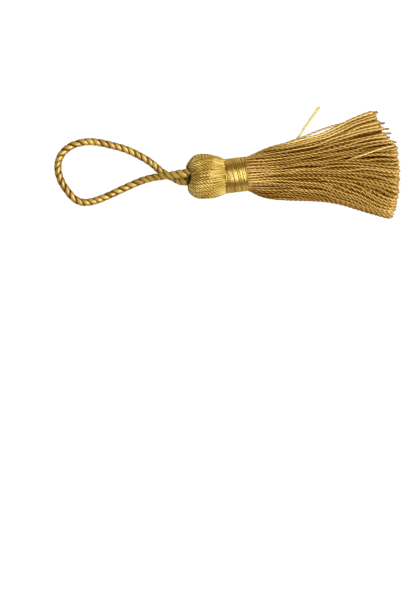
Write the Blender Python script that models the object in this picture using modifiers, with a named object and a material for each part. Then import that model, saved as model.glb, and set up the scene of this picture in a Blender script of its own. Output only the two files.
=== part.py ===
"""Silk tassel lying flat on a surface, with its hanging loop.

A skein of three-ply yarns is turned over at the head, gathered under a floss binding at the neck and
cut level at the end of its fanned skirt. A two-ply cord, doubled into a loop, runs into the head.

Frame: metres, +Z up, the surface at z = 0. +X runs along the tassel from the loop to the cut end,
+Y to its left side. The origin lies on the surface under the middle of the skirt. The tables below
are in millimetres, with x measured from the middle of the neck binding.
"""

import math
from collections import namedtuple

import bmesh
import bpy
import numpy as np

# ---------------------------------------------------------------- driving dimensions

MM = 0.001                      # one millimetre in metres
NECK_X = -36.0                  # middle of the neck binding from the origin, mm
CLEARANCE = 0.3                 # gap between neighbouring pieces, mm

BINDING_HALF_LENGTH = 4.0       # floss binding, from its middle to each end, mm
BINDING_INNER_RADIUS = 5.85
BINDING_HEAD_RADIUS = 6.7       # outer radius at its head end
BINDING_SKIRT_RADIUS = 6.4      # outer radius at its skirt end
BINDING_TURNS = 7               # main ridges of the winding
BINDING_RIDGE = 0.12            # height of a ridge
BINDING_SHOULDER = 0.45         # how far the winding's two ends are rounded down
POINTS_A_TURN = 2               # profile points on each ridge
BINDING_SIDES = 40

NECK_HEIGHT = 8.3               # the tassel's axis above the surface at head and neck
WAIST_RADIUS = BINDING_INNER_RADIUS - CLEARANCE

CORD_DIAMETER = 2.7
YARN_DIAMETER = 1.0
FUNNEL_FLOOR_X = -16.4          # bottom of the funnel where the cord enters the head
CORD_END_X = FUNNEL_FLOOR_X - CLEARANCE - 0.2    # both ends slope a little against the floor

TOP_STEPS = 72                  # ring divisions over the top, a multiple of FOOT_STEPS
FOOT_STEPS = 18                 # ring divisions under the skein

# A cross-section of the skein. left and right are its reach to +Y and -Y, top and foot its highest
# and lowest level, side the level of its widest place, squareness the power that flattens its
# underside (1 is round), bow how far its two edges lag behind its middle along x.
Section = namedtuple("Section", "x left right top side foot squareness bow")

# From the funnel's floor out over the lip, back along the head and down into the waist.
HEAD_SECTIONS = (
    Section(FUNNEL_FLOOR_X, 4.70, 3.20, 12.00, 8.15, 4.30, 1.0, 0.0),
    Section(-17.90, 4.75, 3.35, 12.10, 8.15, 4.15, 1.0, 0.0),
    Section(-18.50, 4.95, 3.95, 12.60, 8.20, 3.70, 1.0, 0.0),
    Section(-18.35, 5.25, 4.80, 13.20, 8.30, 3.10, 1.0, 0.0),
    Section(-17.60, 5.90, 5.85, 14.00, 8.30, 2.40, 1.0, 0.0),
    Section(-16.60, 7.00, 6.90, 14.90, 8.30, 1.40, 1.0, 0.0),
    Section(-15.40, 8.00, 7.70, 15.80, 8.30, 0.50, 1.0, 0.0),
    Section(-13.90, 8.60, 8.05, 16.35, 8.30, 0.00, 1.0, 0.0),
    Section(-12.00, 8.75, 8.20, 16.60, 8.30, -0.20, 1.0, 0.0),
    Section(-10.00, 8.55, 8.25, 16.55, 8.30, -0.15, 1.0, 0.0),
    Section(-8.20, 8.00, 8.15, 16.20, 8.30, 0.20, 1.0, 0.0),
    Section(-6.60, 7.40, 7.70, 15.70, 8.30, 0.80, 1.0, 0.0),
    Section(-5.30, 6.85, 7.20, 15.20, 8.30, 1.30, 1.0, 0.0),
    Section(-4.70, 6.40, 6.70, 14.80, 8.30, 1.80, 1.0, 0.0),
)

# From the binding's skirt end to the cut.
SKIRT_SECTIONS = (
    Section(4.7, 6.20, 6.10, 14.40, 8.20, 2.10, 1.00, 0.0),
    Section(6.5, 7.00, 7.60, 14.20, 7.70, 1.30, 0.95, 0.1),
    Section(9.0, 8.05, 9.10, 13.60, 6.80, 0.50, 0.85, 0.3),
    Section(12.0, 9.20, 10.10, 12.80, 5.70, -0.50, 0.75, 0.5),
    Section(17.0, 10.35, 10.80, 11.80, 4.70, -1.00, 0.65, 0.9),
    Section(23.0, 11.50, 11.30, 10.90, 3.90, -1.20, 0.60, 1.3),
    Section(29.0, 13.05, 11.85, 10.00, 3.30, -1.30, 0.60, 1.8),
    Section(36.0, 14.50, 12.70, 9.20, 2.80, -1.40, 0.60, 2.3),
    Section(43.0, 16.40, 14.40, 8.50, 2.40, -1.50, 0.60, 2.9),
    Section(50.0, 18.50, 16.90, 7.90, 2.00, -1.50, 0.60, 3.6),
    Section(56.0, 20.20, 19.00, 7.30, 1.70, -1.50, 0.60, 4.2),
    Section(61.2, 20.80, 20.70, 6.60, 1.50, -1.50, 0.60, 4.8),
    Section(62.0, 20.30, 20.20, 5.90, 1.50, -1.30, 0.60, 4.9),
)
SKIRT_STEP = 3.2                # longest stretch between two rings of the skirt, mm

# A parting between bundles of skirt yarns. It runs from start_x to the cut; the shares give its
# place across the skirt, from -1 at the right edge to 1 at the left; depth and width at the cut;
# notch is how far the cut end is drawn back there.
Parting = namedtuple("Parting", "start_x start_share end_share depth width notch")
PARTINGS = (
    Parting(27.0, -0.90, -0.86, 1.3, 3.0, 1.1),
    Parting(31.0, -0.55, -0.60, 0.9, 3.4, 0.7),
    Parting(26.0, 0.04, -0.31, 1.1, 4.2, 0.8),
    Parting(15.0, 0.32, -0.04, 1.3, 4.2, 1.0),
    Parting(30.0, 0.34, 0.27, 0.9, 3.4, 0.6),
    Parting(27.0, 0.62, 0.53, 1.0, 3.4, 0.9),
    Parting(38.0, 0.80, 0.78, 1.0, 2.8, 1.3),
)

# The hanging cord's centre line, from one end in the head's funnel round the loop to the other.
CORD_ROUTE = (
    (CORD_END_X, 1.85, 9.40),
    (-19.0, 1.85, 9.30),
    (-21.2, 1.85, 8.65),
    (-23.8, 1.78, 7.60),
    (-26.5, 1.73, 6.30),
    (-29.3, 1.69, 4.85),
    (-32.4, 1.50, 3.40),
    (-35.9, 0.85, 2.20),
    (-39.8, -0.35, 1.55),
    (-44.6, -2.10, 1.40),
    (-48.6, -3.60, 1.40),
    (-52.5, -4.85, 1.40),
    (-56.1, -5.60, 1.40),
    (-59.5, -5.40, 1.40),
    (-62.3, -3.75, 1.40),
    (-64.3, -1.10, 1.40),
    (-66.1, 1.95, 1.40),
    (-67.2, 5.20, 1.40),
    (-67.5, 8.40, 1.40),
    (-66.9, 11.35, 1.40),
    (-65.3, 13.90, 1.40),
    (-62.8, 15.85, 1.40),
    (-59.6, 17.05, 1.40),
    (-55.9, 17.50, 1.40),
    (-52.1, 17.10, 1.40),
    (-46.4, 15.45, 1.40),
    (-40.7, 13.30, 1.40),
    (-35.7, 10.45, 1.40),
    (-31.7, 7.50, 1.45),
    (-29.4, 5.20, 1.60),
    (-27.3, 3.25, 1.95),
    (-24.4, 1.40, 2.95),
    (-21.5, -0.35, 4.95),
    (-19.0, -0.90, 6.60),
    (CORD_END_X, -0.95, 6.95),
)
CORD_POINT_SPACING = 1.0 * CORD_DIAMETER

# The stray yarn's centre line, from the skirt's left side out over the surface.
STRAY_ROUTE = (
    (26.3, 13.55, 3.10),
    (28.6, 16.40, 2.70),
    (31.6, 19.70, 1.70),
    (34.9, 23.20, 0.60),
)
STRAY_POINT_SPACING = 2.0 * YARN_DIAMETER

COLLECTION = "silk_tassel"
YARN_COLOUR = (0.50, 0.30, 0.085, 1.0)
BINDING_COLOUR = (0.62, 0.39, 0.10, 1.0)
CORD_COLOUR = (0.52, 0.33, 0.11, 1.0)


# ---------------------------------------------------------------- scene and materials

def clear_scene():
    """Remove every object of the open scene."""
    for obj in list(bpy.data.objects):
        bpy.data.objects.remove(obj, do_unlink=True)


def make_collection(name):
    """Make the part's collection and link it to the scene."""
    collection = bpy.data.collections.new(name)
    bpy.context.scene.collection.children.link(collection)
    return collection


def make_material(name, colour, roughness, metallic):
    """Make a Principled material."""
    material = bpy.data.materials.new(name)
    material.use_nodes = True
    shader = material.node_tree.nodes["Principled BSDF"]
    shader.inputs["Base Color"].default_value = colour
    shader.inputs["Roughness"].default_value = roughness
    shader.inputs["Metallic"].default_value = metallic
    material.diffuse_color = colour
    return material


# ---------------------------------------------------------------- skein

def waist_sections():
    """The round waist of the skein under the binding, a clearance inside it on all sides."""
    reach = BINDING_HALF_LENGTH + CLEARANCE
    top = NECK_HEIGHT + WAIST_RADIUS
    foot = NECK_HEIGHT - WAIST_RADIUS
    return tuple(
        Section(x, WAIST_RADIUS, WAIST_RADIUS, top, NECK_HEIGHT, foot, 1.0, 0.0)
        for x in (-reach, 0.0, reach)
    )


def refined(sections, longest):
    """Add evenly spaced sections wherever two neighbours lie more than longest apart."""
    fine = [sections[0]]
    for before, after in zip(sections, sections[1:]):
        steps = max(1, math.ceil((after.x - before.x) / longest))
        for step in range(1, steps + 1):
            share = step / steps
            fine.append(Section(*(a + (b - a) * share for a, b in zip(before, after))))
    return tuple(fine)


def parting_at(x, shares, cut_x, half_width):
    """Groove depth and end notch of all partings at station x, for an array of shares."""
    depth = np.zeros_like(shares)
    notch = np.zeros_like(shares)
    for parting in PARTINGS:
        along = (x - parting.start_x) / (cut_x - parting.start_x)
        if along <= 0.0:
            continue
        middle = parting.start_share + (parting.end_share - parting.start_share) * along
        reach = 0.5 * parting.width / half_width
        profile = np.clip(1.0 - np.abs(shares - middle) / reach, 0.0, 1.0)
        profile = profile * profile * (3.0 - 2.0 * profile)
        depth = np.maximum(depth, parting.depth * min(1.0, 0.35 + along) * profile)
        notch = np.maximum(notch, parting.notch * max(0.0, 4.0 * along - 3.0) * profile)
    return depth, notch


def section_ring(section):
    """Points of one closed ring in metres: right edge, over the top to the left edge, back below."""
    over = np.linspace(0.0, math.pi, TOP_STEPS + 1)
    under = np.linspace(math.pi, 0.0, FOOT_STEPS + 1)[1:-1]
    angle = np.concatenate([over, under])
    share = -np.cos(angle)
    rise = np.sin(angle)
    reach = np.where(share > 0.0, section.left, section.right)
    y = share * reach
    top_z = section.side + (section.top - section.side) * rise
    foot_z = section.side - (section.side - section.foot) * rise ** section.squareness
    is_top = np.arange(len(angle)) <= TOP_STEPS
    cut_x = SKIRT_SECTIONS[-1].x
    half_width = 0.5 * (section.left + section.right)
    depth, notch = parting_at(section.x, share, cut_x, half_width)
    z = np.where(is_top, top_z - depth * np.sqrt(rise), np.maximum(foot_z, 0.0))
    x = section.x - section.bow * share * share - notch
    return np.column_stack([x + NECK_X, y, z]) * MM


def cap_ring(mesh, ring):
    """Close a ring with a ladder of faces from its top to its foot."""
    ratio = TOP_STEPS // FOOT_STEPS
    count = len(ring)
    for step in range(FOOT_STEPS):
        corners = [ring[ratio * step + k] for k in range(ratio + 1)]
        below = [ring[(count - step - 1) % count], ring[(count - step) % count]]
        corners += [vert for vert in below if vert not in corners]
        mesh.faces.new(corners)


def build_skein(collection, material):
    """Loft the turned-over, gathered and fanned skein as one closed solid."""
    sections = HEAD_SECTIONS + waist_sections() + refined(SKIRT_SECTIONS, SKIRT_STEP)
    mesh = bmesh.new()
    rings = [[mesh.verts.new(point) for point in section_ring(section)] for section in sections]
    for before, after in zip(rings, rings[1:]):
        count = len(before)
        for k in range(count):
            nearby = (k + 1) % count
            mesh.faces.new((before[k], after[k], after[nearby], before[nearby]))
    cap_ring(mesh, rings[0])
    cap_ring(mesh, rings[-1])
    bmesh.ops.recalc_face_normals(mesh, faces=mesh.faces)
    return finish_mesh("skein", mesh, collection, material)


def finish_mesh(name, mesh, collection, material):
    """Turn a bmesh into a smooth-shaded object of the part."""
    data = bpy.data.meshes.new(name)
    mesh.to_mesh(data)
    mesh.free()
    data.shade_smooth()
    data.set_sharp_from_angle(angle=math.radians(50.0))
    data.materials.append(material)
    obj = bpy.data.objects.new(name, data)
    collection.objects.link(obj)
    return obj


# ---------------------------------------------------------------- neck binding

def binding_profile():
    """Closed profile of the winding as (radius, level) pairs in mm, outer side from top to foot."""
    count = BINDING_TURNS * POINTS_A_TURN
    share = np.linspace(0.0, 1.0, count + 1)
    level = BINDING_HALF_LENGTH * (1.0 - 2.0 * share)
    ridge = BINDING_RIDGE * np.abs(np.sin(math.pi * BINDING_TURNS * share))
    rounding = BINDING_SHOULDER * (2.0 * share - 1.0) ** 8
    outer = BINDING_SKIRT_RADIUS + (BINDING_HEAD_RADIUS - BINDING_SKIRT_RADIUS) * share
    outer = outer + ridge - rounding
    profile = list(zip(outer, level))
    profile.append((BINDING_INNER_RADIUS, -BINDING_HALF_LENGTH))
    profile.append((BINDING_INNER_RADIUS, BINDING_HALF_LENGTH))
    return profile


def build_binding(collection, material):
    """Turn the winding's profile about the tassel's axis."""
    mesh = bmesh.new()
    verts = [mesh.verts.new((radius * MM, 0.0, level * MM)) for radius, level in binding_profile()]
    for before, after in zip(verts, verts[1:] + verts[:1]):
        mesh.edges.new((before, after))
    obj = finish_mesh("neck_binding", mesh, collection, material)
    turned = obj.modifiers.new("turned", "SCREW")
    turned.axis = "Z"
    turned.angle = 2.0 * math.pi
    turned.steps = BINDING_SIDES
    turned.render_steps = BINDING_SIDES
    turned.use_merge_vertices = True
    turned.merge_threshold = 0.00001
    turned.use_smooth_shade = True
    obj.rotation_euler = (0.0, math.radians(90.0), 0.0)
    obj.location = (NECK_X * MM, 0.0, NECK_HEIGHT * MM)
    return obj


# ---------------------------------------------------------------- cord and stray yarn

def smooth_points(route, spacing):
    """Evenly spaced points of the smooth curve through a route's points, all in mm."""
    knots = np.array(route, dtype=float)
    padded = np.vstack([2.0 * knots[0] - knots[1], knots, 2.0 * knots[-1] - knots[-2]])
    share = np.linspace(0.0, 1.0, 24, endpoint=False)[:, None]
    stretches = []
    for first, second, third, fourth in zip(padded, padded[1:], padded[2:], padded[3:]):
        linear = (third - first) * share
        square = (2.0 * first - 5.0 * second + 4.0 * third - fourth) * share ** 2
        cubic = (3.0 * second - first - 3.0 * third + fourth) * share ** 3
        stretches.append(second + 0.5 * (linear + square + cubic))
    fine = np.vstack(stretches + [knots[-1:]])
    walked = np.concatenate([[0.0], np.cumsum(np.linalg.norm(np.diff(fine, axis=0), axis=1))])
    marks = np.linspace(0.0, walked[-1], max(2, round(walked[-1] / spacing)) + 1)
    return np.column_stack([np.interp(marks, walked, fine[:, axis]) for axis in range(3)])


def build_tube(name, route, spacing, diameter, collection, material):
    """Lay a round tube with closed ends along a smooth route."""
    points = (smooth_points(route, spacing) + np.array([NECK_X, 0.0, 0.0])) * MM
    curve = bpy.data.curves.new(name, "CURVE")
    curve.dimensions = "3D"
    curve.bevel_depth = 0.5 * diameter * MM
    curve.bevel_resolution = 2
    curve.use_fill_caps = True
    spline = curve.splines.new("POLY")
    spline.points.add(len(points) - 1)
    for control, point in zip(spline.points, points):
        control.co = (*point, 1.0)
    spline.use_smooth = True
    curve.materials.append(material)
    obj = bpy.data.objects.new(name, curve)
    collection.objects.link(obj)
    return obj


# ---------------------------------------------------------------- the part

def main():
    """Build the tassel."""
    clear_scene()
    tassel = make_collection(COLLECTION)
    yarn = make_material("skein_yarn", YARN_COLOUR, 0.45, 0.0)
    floss = make_material("binding_floss", BINDING_COLOUR, 0.30, 0.0)
    ply = make_material("cord_ply", CORD_COLOUR, 0.40, 0.0)
    build_skein(tassel, yarn)
    build_binding(tassel, floss)
    build_tube("hanging_cord", CORD_ROUTE, CORD_POINT_SPACING, CORD_DIAMETER, tassel, ply)
    build_tube("stray_yarn", STRAY_ROUTE, STRAY_POINT_SPACING, YARN_DIAMETER, tassel, yarn)


if __name__ == "__main__":
    main()
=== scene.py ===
"""A gold silk tassel lying on a pale table: its yarns, floss binding and hanging cord.

The yarns are three-ply strands swept along paths that are worked out as whole arrays. The skirt's
yarns are packed side by side in a row of cross-sections from the neck to the cut end, the head's
yarns are turned over a funnel round the cord, and the floss is wound round the neck.

Lengths in the tables are millimetres from the middle of the neck binding, with x along the tassel
towards the cut end, y to its left side and z up from the table.
"""

import logging
import math
from dataclasses import dataclass, field, fields
from enum import Enum
from typing import NamedTuple, Optional, Sequence, Union

import bpy
import numpy as np
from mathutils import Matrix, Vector

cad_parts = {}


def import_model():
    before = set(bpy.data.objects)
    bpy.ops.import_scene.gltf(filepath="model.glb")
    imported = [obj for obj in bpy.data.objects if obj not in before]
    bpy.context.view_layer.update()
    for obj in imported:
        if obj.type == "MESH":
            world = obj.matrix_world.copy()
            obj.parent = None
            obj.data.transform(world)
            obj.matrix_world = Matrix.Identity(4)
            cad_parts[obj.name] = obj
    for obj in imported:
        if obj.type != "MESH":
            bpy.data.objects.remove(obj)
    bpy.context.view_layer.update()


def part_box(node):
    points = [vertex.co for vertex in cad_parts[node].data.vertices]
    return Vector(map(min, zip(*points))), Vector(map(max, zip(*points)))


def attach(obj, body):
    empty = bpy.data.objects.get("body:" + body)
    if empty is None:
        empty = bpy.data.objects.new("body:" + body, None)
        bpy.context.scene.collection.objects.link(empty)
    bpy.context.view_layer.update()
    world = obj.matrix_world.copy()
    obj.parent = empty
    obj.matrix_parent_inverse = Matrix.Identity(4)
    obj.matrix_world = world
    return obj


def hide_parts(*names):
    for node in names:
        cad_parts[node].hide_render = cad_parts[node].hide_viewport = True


LOG = logging.getLogger("tassel")

MM = 0.001
BODY = "root"
BAKE_MAP = "OFBake"
PLIES = 3
TURN = 2.0 * math.pi
HAIR_WIDTH = 0.17
MAP_END = 0.02
MAP_RIM = 0.015
MAP_GAP = 0.06
VALLEY_FROM = 0.7
VALLEY_SPAN = 0.6
CURVE_STEPS = 40
HONEYCOMB = 0.866
GOLDEN_ANGLE = math.pi * (3.0 - math.sqrt(5.0))
UP = np.array([0.0, 0.0, 1.0])
FORWARD = np.array([1.0, 0.0, 0.0])

Array = np.ndarray
Number = Union[int, float]
Values = Union[Array, float]
Form = dict[str, Array]
Route = Sequence[tuple[float, float, float]]
Colour = tuple[float, float, float, float]


class Lay(Enum):
    """The way plies run round each other, as the sign of their turn along the strand."""

    Z = 1.0
    S = -1.0

    def turn(self, walked: Array, pitch: Values) -> Array:
        """Turn in radians, at a length along a strand that turns once in each pitch."""
        return self.value * TURN * walked / pitch


class Fade(NamedTuple):
    """A value that runs straight from mark to mark and stays level before and after them."""

    marks: tuple[float, ...]
    values: tuple[float, ...]

    def at(self, place: Array) -> Array:
        """The value at these places."""
        return np.interp(place, self.marks, self.values)


# ---- Tables of the tassel's form ---------------------------------------------------------------


class Section(NamedTuple):
    """A cross-section of the skein's outer form: reaches to both sides, levels, and shape."""

    x: float
    left: float
    right: float
    top: float
    side: float
    foot: float
    squareness: float = 1.0
    bow: float = 0.0


SKIRT_SECTIONS = (
    Section(2.0, 5.60, 5.60, 13.90, 8.30, 2.70),
    Section(4.2, 6.30, 6.20, 14.50, 8.30, 2.10),
    Section(6.5, 7.00, 7.60, 14.20, 7.70, 1.30, 0.95, 0.1),
    Section(9.0, 8.05, 9.10, 13.60, 6.80, 0.50, 0.85, 0.3),
    Section(12.0, 9.20, 10.10, 12.80, 5.70, -0.50, 0.75, 0.5),
    Section(17.0, 10.35, 10.80, 11.80, 4.70, -1.00, 0.65, 0.9),
    Section(23.0, 11.50, 11.30, 10.90, 3.90, -1.20, 0.60, 1.3),
    Section(29.0, 12.20, 11.85, 10.00, 3.30, -1.30, 0.60, 1.8),
    Section(36.0, 13.30, 12.70, 9.20, 2.80, -1.40, 0.60, 2.3),
    Section(43.0, 15.85, 14.40, 8.50, 2.40, -1.50, 0.60, 2.9),
    Section(50.0, 18.50, 16.90, 7.90, 2.00, -1.50, 0.60, 3.6),
    Section(56.0, 20.20, 19.00, 7.30, 1.70, -1.50, 0.60, 4.2),
    Section(62.6, 21.00, 20.90, 6.60, 1.50, -1.50, 0.60, 4.9),
    Section(67.0, 21.80, 21.90, 6.20, 1.50, -1.50, 0.60, 5.2),
)

HEAD_SECTIONS = (
    Section(-2.60, 5.60, 5.60, 13.90, 8.30, 2.70),
    Section(-4.20, 6.20, 6.75, 14.80, 8.30, 1.80),
    Section(-5.30, 6.85, 7.20, 15.20, 8.30, 1.30),
    Section(-6.60, 7.40, 7.70, 15.70, 8.30, 0.80),
    Section(-8.20, 8.00, 8.15, 16.20, 8.30, 0.20),
    Section(-10.00, 8.55, 8.25, 16.55, 8.30, -0.05),
    Section(-12.00, 8.75, 8.20, 16.60, 8.30, -0.05),
    Section(-13.90, 8.60, 8.05, 16.35, 8.30, 0.10),
    Section(-15.50, 8.00, 7.70, 15.80, 8.30, 0.50),
    Section(-16.80, 7.00, 6.90, 14.90, 8.30, 1.40),
    Section(-17.90, 5.90, 5.85, 14.00, 8.30, 2.40),
    Section(-18.55, 5.00, 4.70, 13.10, 8.30, 3.20),
    Section(-18.60, 4.30, 3.60, 12.20, 8.25, 4.20),
    Section(-17.90, 3.80, 2.90, 11.50, 8.20, 4.90),
    Section(-16.80, 3.55, 2.50, 11.20, 8.15, 5.20),
    Section(-15.60, 3.40, 2.40, 11.00, 8.15, 5.30),
)

SKIRT_CUT = Fade(
    (-21.0, -17.9, -15.0, -11.3, -4.9, 1.8, 7.4, 9.2, 11.2, 13.0, 15.3, 18.0, 20.4),
    (58.0, 59.9, 60.8, 61.8, 62.2, 62.4, 62.0, 60.3, 60.1, 59.4, 58.2, 57.0, 55.7),
)


class Parting(NamedTuple):
    """An opening between bundles of yarns: its shares of the reach at the neck and at the cut,
    where it starts to show, and how far it moves the yarns beside it."""

    neck_share: float
    end_share: float
    start_x: float
    gape: float


SKIRT_PARTINGS = (
    Parting(-0.92, -0.87, 30.0, 0.25),
    Parting(-0.53, -0.60, 31.0, 0.40),
    Parting(0.15, -0.31, 26.0, 0.55),
    Parting(0.40, -0.04, 15.0, 0.60),
    Parting(0.52, 0.27, 30.0, 0.40),
    Parting(0.66, 0.53, 27.0, 0.20),
    Parting(0.82, 0.78, 38.0, 0.0),
)

CORD_ROUTE = (
    (-16.9, 1.85, 9.40), (-19.0, 1.85, 9.30), (-21.2, 1.85, 8.65), (-23.8, 1.78, 7.60),
    (-26.5, 1.73, 6.30), (-29.3, 1.69, 4.85), (-32.4, 1.50, 3.40), (-35.9, 0.85, 2.20),
    (-39.8, -0.35, 1.55), (-44.6, -2.10, 1.40), (-48.6, -3.60, 1.40), (-52.5, -4.85, 1.40),
    (-56.1, -5.60, 1.40), (-59.5, -5.40, 1.40), (-62.3, -3.75, 1.40), (-64.3, -1.10, 1.40),
    (-66.1, 1.95, 1.40), (-67.2, 5.20, 1.40), (-67.5, 8.40, 1.40), (-66.9, 11.35, 1.40),
    (-65.3, 13.90, 1.40), (-62.8, 15.85, 1.40), (-59.6, 17.05, 1.40), (-55.9, 17.50, 1.40),
    (-52.1, 17.10, 1.40), (-46.4, 15.45, 1.40), (-40.7, 13.30, 1.40), (-35.7, 10.45, 1.40),
    (-31.7, 7.50, 1.45), (-29.4, 5.20, 1.60), (-27.3, 3.25, 1.95), (-24.4, 1.40, 2.95),
    (-21.5, -0.35, 4.95), (-19.0, -0.90, 6.60), (-16.9, -0.95, 6.95),
)

STRAY_ROUTE = (
    (23.6, 10.60, 3.30), (25.8, 13.45, 3.10), (28.5, 16.85, 2.50), (31.5, 20.55, 1.60),
    (34.4, 24.00, 0.70),
)


class Wayward(NamedTuple):
    """A skirt yarn that leaves its place among the others: its shade and the way it follows."""

    shade: float
    route: Route


EDGE_YARNS = (
    Wayward(0.8, (
        (15.0, 9.0, 5.6), (21.0, 10.85, 4.9), (27.0, 12.55, 4.0), (31.0, 13.90, 3.5),
        (35.2, 15.15, 3.1), (39.0, 16.05, 2.8), (43.3, 16.80, 2.5), (50.0, 18.10, 2.1),
        (56.6, 19.90, 1.8),
    )),
    Wayward(0.2, (
        (20.0, -10.2, 4.6), (27.7, -11.3, 3.9), (35.0, -12.3, 3.2), (41.6, -13.9, 2.8),
        (47.9, -16.3, 2.2), (52.8, -18.0, 1.8), (56.6, -19.5, 1.4),
    )),
)
CROSSING_YARN = Wayward(2.0, (
    (42.0, 1.7, 7.6), (45.2, 2.7, 8.9), (50.0, 3.9, 8.9), (55.5, 5.3, 8.3), (61.0, 6.3, 7.4),
))
PROUD_ENDS = (
    Wayward(-1.0, ((50.0, 17.6, 1.6), (53.5, 19.3, 1.5), (56.3, 20.3, 1.4))),
    Wayward(-1.0, ((51.0, 13.6, 3.0), (55.5, 15.1, 2.7), (58.8, 15.7, 2.4))),
    Wayward(-1.0, ((52.0, 11.9, 3.2), (57.0, 13.1, 2.9), (60.2, 13.3, 2.6))),
    Wayward(-0.8, ((53.0, 10.5, 3.4), (57.5, 11.5, 3.0), (60.9, 11.5, 2.7))),
    Wayward(-0.8, ((53.0, 8.9, 3.6), (57.0, 9.6, 3.2), (60.2, 10.0, 2.9))),
    Wayward(-0.8, ((55.0, 8.4, 3.8), (59.5, 8.6, 3.4), (62.5, 7.8, 3.0))),
)


# ---- Paths and swept surfaces ------------------------------------------------------------------


def along_curve(route: Route, count: int) -> Array:
    """Evenly spaced points of the smooth curve through a route's points.

    Between two points runs a cubic whose slope at each is half the step from the point before to
    the point after. The curve is read finely and then again at even lengths.

    Args:
        route: The points that the curve passes through, in mm.
        count: How many points to return.

    Returns:
        Points as (count, 3).
    """
    knots = np.asarray(route, float)
    padded = np.vstack([2.0 * knots[0] - knots[1], knots, 2.0 * knots[-1] - knots[-2]])
    p0, p1, p2, p3 = (padded[k : len(padded) - 3 + k, None] for k in range(4))
    t = np.linspace(0.0, 1.0, CURVE_STEPS, endpoint=False)[None, :, None]
    cubic = (
        p1
        + 0.5 * (p2 - p0) * t
        + 0.5 * (2.0 * p0 - 5.0 * p1 + 4.0 * p2 - p3) * t**2
        + 0.5 * (3.0 * p1 - p0 - 3.0 * p2 + p3) * t**3
    )
    fine = np.vstack([cubic.reshape(-1, 3), knots[-1:]])
    return evenly(fine[None], count)[0]


def evenly(paths: Array, count: int) -> Array:
    """Paths read again at even lengths.

    Args:
        paths: Points as (paths, stations, 3).
        count: Stations wanted on every path.

    Returns:
        Points as (paths, count, 3).
    """
    marks = np.linspace(0.0, 1.0, count)
    return np.stack(
        [
            np.stack([np.interp(marks * w[-1], w, p[:, axis]) for axis in range(3)], axis=1)
            for w, p in zip(walked_length(paths), paths)
        ]
    )


def walked_length(paths: Array) -> Array:
    """Length walked from the start of each path, as (paths, stations)."""
    steps = np.linalg.norm(np.diff(paths, axis=1), axis=2)
    return np.concatenate([np.zeros((len(paths), 1)), np.cumsum(steps, axis=1)], axis=1)


def unit(vectors: Array) -> Array:
    """Vectors scaled to length one."""
    return vectors / np.maximum(np.linalg.norm(vectors, axis=-1, keepdims=True), 1e-12)


def smooth_along(values: Array, passes: int) -> Array:
    """Smooth values along axis 1; the first and the last stay as they are.

    Args:
        values: Values as (strands, stations) or (strands, stations, 3).
        passes: How many times each inner value becomes 1/4, 1/2, 1/4 of itself and its neighbours.

    Returns:
        The smoothed values.
    """
    out = values.copy()
    for _ in range(passes):
        out[:, 1:-1] = 0.25 * out[:, :-2] + 0.5 * out[:, 1:-1] + 0.25 * out[:, 2:]
    return out


def wander(rng: np.random.Generator, strands: int, stations: int, knots: int) -> Array:
    """A slow random drift with unit spread: random knots joined by cosine steps.

    Args:
        rng: Source of the knots.
        strands: How many drifts to make.
        stations: Values wanted of each.
        knots: Steps between its random knots.

    Returns:
        The drifts as (strands, stations).
    """
    heights = rng.normal(size=(strands, knots + 1))
    place = np.linspace(0.0, knots, stations)
    low = np.minimum(place.astype(int), knots - 1)
    step = 0.5 - 0.5 * np.cos(math.pi * (place - low))
    return heights[:, low] * (1.0 - step) + heights[:, low + 1] * step


@dataclass
class Surface:
    """Vertices, faces and per-vertex values of one or several closed strands."""

    points: Array
    quads: Array
    tris: Array
    quad_map: Array
    tri_map: Array
    values: dict[str, Array]

    def scale_value(self, name: str, share: Array) -> None:
        """Multiply a value on the rings by a share for each, as (strands, stations)."""
        ring_points = len(self.points) - 2 * len(share)
        self.values[name][:ring_points] *= np.repeat(share, ring_points // share.size)

    @staticmethod
    def joined(parts: Sequence["Surface"]) -> "Surface":
        """Join surfaces, giving each a band of the map as wide as its share of the faces.

        Args:
            parts: Surfaces that carry the same values.

        Returns:
            All parts in one surface.
        """
        starts = np.cumsum([0] + [len(part.points) for part in parts])
        weights = np.array([max(1, len(part.quads)) for part in parts], float)
        tops = np.concatenate([[0.0], np.cumsum(weights / weights.sum())])

        def banded(uv: Array, low: float, high: float) -> Array:
            """The map squeezed into its band."""
            return np.stack([uv[..., 0], low + (high - low) * uv[..., 1]], axis=-1)

        bands = list(zip(tops[:-1], tops[1:]))
        return Surface(
            points=np.concatenate([part.points for part in parts]),
            quads=np.concatenate([part.quads + s for part, s in zip(parts, starts)]),
            tris=np.concatenate([part.tris + s for part, s in zip(parts, starts)]),
            quad_map=np.concatenate([banded(p.quad_map, *b) for p, b in zip(parts, bands)]),
            tri_map=np.concatenate([banded(p.tri_map, *b) for p, b in zip(parts, bands)]),
            values={
                name: np.concatenate([part.values[name] for part in parts])
                for name in parts[0].values
            },
        )


def path_frames(paths: Array, side: Array) -> tuple[Array, Array]:
    """Two unit directions across each path, square to it and to each other.

    The first is the given side direction less its part along the path, the second is the path's
    direction crossed with the first, so turning from the first to the second is a Z turn.

    Args:
        paths: Points as (strands, stations, 3).
        side: A direction for every point, or one that broadcasts to it.

    Returns:
        The two directions, each (strands, stations, 3).
    """
    ahead = unit(np.gradient(paths, axis=1))
    side = np.broadcast_to(side, paths.shape)
    across = unit(side - ahead * (side * ahead).sum(-1, keepdims=True))
    return across, np.cross(ahead, across)


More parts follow.
